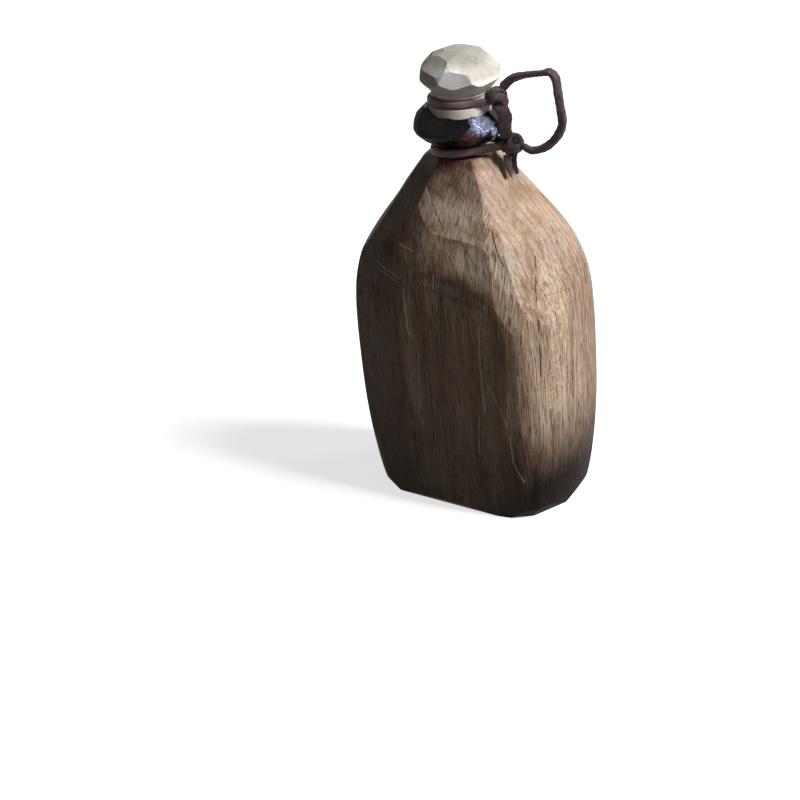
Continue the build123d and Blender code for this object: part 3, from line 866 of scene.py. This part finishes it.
# The strand between the knots, and the two cut ends that hang from the lower one, all broad side to
# the front right
broadside = (0.82, 0.57, 0.0)
strand_route = (
    (0.0194, 0.0004, 0.1804),
    (0.0217, 0.0006, 0.1772),
    (0.0229, 0.0000, 0.1738),
    (0.0223, -0.0014, 0.1702),
    (0.0230, 0.0002, 0.1666),
)
strand_line = smooth_line("strand_line", strand_route)
strand = lace("thong_strand", strand_line, wide=0.0058, thick=0.0028, twist=0.25, across=broadside)
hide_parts("tether_strand")
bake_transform(strand)

long_tail_route = (
    (0.0222, 0.0044, 0.1575),
    (0.0224, 0.0039, 0.1553),
    (0.0236, 0.0031, 0.1523),
    (0.0253, 0.0025, 0.1495),
)
long_tail = lace(
    "thong_long_tail", smooth_line("long_tail_line", long_tail_route),
    wide=0.0042, thick=0.0024, twist=0.3, taper=0.6, across=broadside,
)
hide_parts("cord_tail_long")
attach(long_tail, "flask")

short_tail_route = (
    (0.0218, 0.0012, 0.1577),
    (0.0219, 0.0007, 0.1555),
    (0.0231, -0.0001, 0.1527),
    (0.0245, -0.0007, 0.1503),
)
short_tail = lace(
    "thong_short_tail", smooth_line("short_tail_line", short_tail_route),
    wide=0.0038, thick=0.0021, twist=-0.3, taper=0.5, across=broadside,
)
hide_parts("cord_tail_short")
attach(short_tail, "flask")


def neck_line(turn_radius, reach, bearing, height, slope=0.0):
    """The line of a thong round a neck: round the back from the knot and straight to it at both ends."""
    straight_steps, round_steps = 12, 60
    open_half = math.acos(turn_radius / reach)
    points = []
    for side in (1, -1):
        near = Vector((turn_radius * math.cos(open_half), side * turn_radius * math.sin(open_half), 0))
        runs = [Vector((reach, 0, 0)).lerp(near, step / straight_steps) for step in range(straight_steps)]
        if side < 0:
            runs.reverse()
            for step in range(round_steps + 1):
                angle = open_half + (2 * math.pi - 2 * open_half) * step / round_steps
                points.append(Vector((turn_radius * math.cos(angle), turn_radius * math.sin(angle), 0)))
        points += runs
    turn = math.radians(bearing)
    placed = []
    for point in points:
        across = point.x * math.cos(turn) - point.y * math.sin(turn)
        deep = point.x * math.sin(turn) + point.y * math.cos(turn)
        placed.append(Vector((across, deep, height + point.x * slope)))
    return placed


# The turn round the stopper's groove and the turn round the neck, each drawn tight by its knot
stopper_turn_line = neck_line(turn_radius=0.0123, reach=0.0186, bearing=3.5, height=0.1815)
stopper_turn = lace("thong_round_stopper", stopper_turn_line, wide=0.0030, thick=0.0027)
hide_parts("stopper_cord_ring")
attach(stopper_turn, "stopper_cord")

neck_turn_line = neck_line(
    turn_radius=0.0125, reach=0.0239, bearing=8.5, height=0.16019, slope=math.tan(math.radians(5.0))
)
neck_turn = lace("thong_round_neck", neck_turn_line, wide=0.0035, thick=0.0027)
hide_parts("neck_cord_ring")
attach(neck_turn, "flask")


# A knot's frame, across, up and out, as one who ties it at the front right of the flask sees it
knot_bearing = math.radians(35)
knot_out = Vector((math.sin(knot_bearing), -math.cos(knot_bearing), 0.4)).normalized()
knot_across = Vector((0.0, 0.0, 1.0)).cross(knot_out).normalized()
knot_frame = Matrix((knot_across, knot_out.cross(knot_across), knot_out)).transposed()


def tight_knot(name, centre, wraps):
    """A knot drawn tight: a small overhand knot at its heart, wrapped by the lace that closes it."""
    heart_steps, heart_size, millimetre = 96, 0.00062, 0.001
    heart = []
    for step in range(heart_steps + 1):
        t = 2 * math.pi * step / heart_steps
        place = Vector((
            math.sin(t) + 1.6 * math.sin(2 * t), math.cos(t) - 1.6 * math.cos(2 * t), -1.1 * math.sin(3 * t)
        ))
        heart.append(centre + knot_frame @ place * heart_size)
    route = [centre + knot_frame @ Vector(wrap) * millimetre for wrap in wraps]
    line = smooth_line(name, route)
    across = (line[0] - centre).cross(line[1] - line[0])
    return leather_piece(
        name,
        lace_skin(heart, wide=0.0030, thick=0.0026),
        lace_skin(line, wide=0.0036, thick=0.0023, across=across),
    )


# The upper knot closes the turn round the stopper, and the lower knot the turn round the neck. Their
# wraps are in millimetres in the knot's frame
upper_knot_place = Vector((0.01857, 0.00114, 0.1833))
upper_knot = tight_knot("thong_upper_knot", upper_knot_place, (
    (-4.4, -0.8, -1.4), (-3.4, 1.2, 1.0), (-1.0, 2.7, 2.0), (2.0, 2.7, 1.6), (3.5, 0.6, 0.2),
    (2.7, -2.0, -1.4), (0.0, -3.0, -2.0), (-2.8, -2.2, -0.4), (-2.9, -0.8, 2.0), (-0.4, -0.2, 3.0),
    (2.3, -1.0, 2.6), (3.2, -2.6, 1.0), (2.4, -4.4, -0.6),
))
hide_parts("stopper_knot")
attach(upper_knot, "stopper_cord")

lower_knot_place = Vector((0.02364, 0.00353, 0.1623))
lower_knot = tight_knot("thong_lower_knot", lower_knot_place, (
    (-4.6, -1.4, 0.2), (-2.4, -1.9, 2.5), (0.8, -2.3, 2.9), (3.1, -1.3, 1.6), (3.3, 1.2, 0.6),
    (1.8, 3.4, 0.6), (-0.9, 3.6, 1.0), (-2.6, 1.4, 1.8), (-2.5, -1.4, 0.8), (-0.5, -3.4, -0.6),
    (2.3, -2.4, -1.8), (2.5, 0.6, -2.4), (-0.4, 2.2, -2.2), (-3.0, 0.6, -1.0), (-3.4, -1.8, 0.6),
    (-2.4, -4.2, 0.6),
))
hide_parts("neck_knot")
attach(lower_knot, "flask")


# The floor, the lamps and the camera
# A plain pale floor and room that look white to the camera, where the flask still throws its shadow.
# A large window lamp stands high at the right, with a weak lamp in front and a bluish one for the sky.

def seen_plainly(tree):
    """Whether a ray shows the stage, straight or in a mirror, and doesn't only carry its light."""
    rays = add_node(tree, "ShaderNodeLightPath").outputs
    mirrored = maths(tree, "MAXIMUM", rays["Is Glossy Ray"], rays["Is Transmission Ray"])
    return maths(tree, "MAXIMUM", rays["Is Camera Ray"], mirrored)


floor_material = bpy.data.materials.new("pale floor")
floor_material.use_nodes = True
tree = floor_material.node_tree
tree.nodes.clear()
pale = add_node(tree, "ShaderNodeBsdfDiffuse", {"Color": (0.90, 0.90, 0.90, 1.0)}).outputs[0]
glow = add_node(tree, "ShaderNodeEmission", {"Color": (1.0, 1.0, 1.0, 1.0), "Strength": 0.70}).outputs[0]
bright = add_node(tree, "ShaderNodeAddShader", {0: pale, 1: glow}).outputs[0]
dim = add_node(tree, "ShaderNodeBsdfDiffuse", {"Color": (0.08, 0.08, 0.08, 1.0)}).outputs[0]
floor_look = add_node(tree, "ShaderNodeMixShader", {0: seen_plainly(tree), 1: dim, 2: bright}).outputs[0]
out = add_node(tree, "ShaderNodeOutputMaterial")
tree.links.new(floor_look, out.inputs["Surface"])
floor_reach = 4
corner_signs = ((-1, -1), (1, -1), (1, 1), (-1, 1))
corners = [(across * floor_reach, deep * floor_reach, 0) for across, deep in corner_signs]
floor_mesh = bpy.data.meshes.new("floor")
floor_mesh.from_pydata(corners, [], [(0, 1, 2, 3)])
floor_mesh.materials.append(floor_material)
floor = bpy.data.objects.new("floor", floor_mesh)
bpy.context.scene.collection.objects.link(floor)

world = bpy.data.worlds.new("pale room")
world.use_nodes = True
tree = world.node_tree
tree.nodes.clear()
white = {"Color": (1.0, 1.0, 1.0, 1.0), "Strength": 1.0}
faint = {"Color": (0.97, 0.98, 1.0, 1.0), "Strength": 0.036}
shown = add_node(tree, "ShaderNodeBackground", white).outputs[0]
fill = add_node(tree, "ShaderNodeBackground", faint).outputs[0]
room = add_node(tree, "ShaderNodeMixShader", {0: seen_plainly(tree), 1: fill, 2: shown}).outputs[0]
out = add_node(tree, "ShaderNodeOutputWorld")
tree.links.new(room, out.inputs["Surface"])
bpy.context.scene.world = world

middle = Vector((0.0, 0.0, 0.10))        # where the lamps and the camera look


def soft_lamp(name, bearing, height, distance, width, power, colour):
    """A square area lamp that looks at the flask from a bearing and a height, both in degrees."""
    turn, rise = math.radians(bearing), math.radians(height)
    away = Vector((math.cos(turn) * math.cos(rise), math.sin(turn) * math.cos(rise), math.sin(rise)))
    light = bpy.data.lights.new(name, "AREA")
    light.shape = "SQUARE"
    light.size = width
    light.energy = power
    light.color = colour
    lamp = bpy.data.objects.new(name, light)
    lamp.location = middle + away * distance
    lamp.rotation_euler = away.to_track_quat("Z", "Y").to_euler()
    bpy.context.scene.collection.objects.link(lamp)


soft_lamp(
    "window lamp", bearing=9, height=44, distance=3.0, width=0.95, power=108.0, colour=(1.0, 0.985, 0.965)
)
soft_lamp(
    "front lamp", bearing=-52, height=30, distance=3.0, width=1.6, power=1.8, colour=(1.0, 0.97, 0.94)
)
soft_lamp(
    "sky lamp", bearing=51, height=53, distance=3.0, width=0.5, power=6.0, colour=(0.62, 0.72, 1.0)
)

# The camera stands where the photograph was taken, a little rolled
camera_azimuth, camera_height = math.radians(35.0), math.radians(22.0)
camera_roll = math.radians(4.27)
camera_distance = 0.9
focal_pixels = 2061.6
middle_pixel = (472.5, 275.1)
picture_width = 800
back = Vector((
    math.sin(camera_azimuth) * math.cos(camera_height),
    -math.cos(camera_azimuth) * math.cos(camera_height),
    math.sin(camera_height),
))
right = Vector((math.cos(camera_azimuth), math.sin(camera_azimuth), 0.0))
up = back.cross(right)
rolled_right = right * math.cos(camera_roll) - up * math.sin(camera_roll)
rolled_up = up * math.cos(camera_roll) + right * math.sin(camera_roll)
camera_data = bpy.data.cameras.new("camera")
camera_data.sensor_width = 36.0
camera_data.lens = focal_pixels * camera_data.sensor_width / picture_width
camera_data.shift_x = (picture_width / 2 - middle_pixel[0]) / picture_width
camera_data.shift_y = (middle_pixel[1] - picture_width / 2) / picture_width
camera = bpy.data.objects.new("camera", camera_data)
camera.matrix_world = Matrix((
    (rolled_right.x, rolled_up.x, back.x, middle.x + back.x * camera_distance),
    (rolled_right.y, rolled_up.y, back.y, middle.y + back.y * camera_distance),
    (rolled_right.z, rolled_up.z, back.z, middle.z + back.z * camera_distance),
    (0.0, 0.0, 0.0, 1.0),
))
bpy.context.scene.collection.objects.link(camera)
bpy.context.scene.camera = camera
bpy.context.scene.view_settings.view_transform = "Standard"
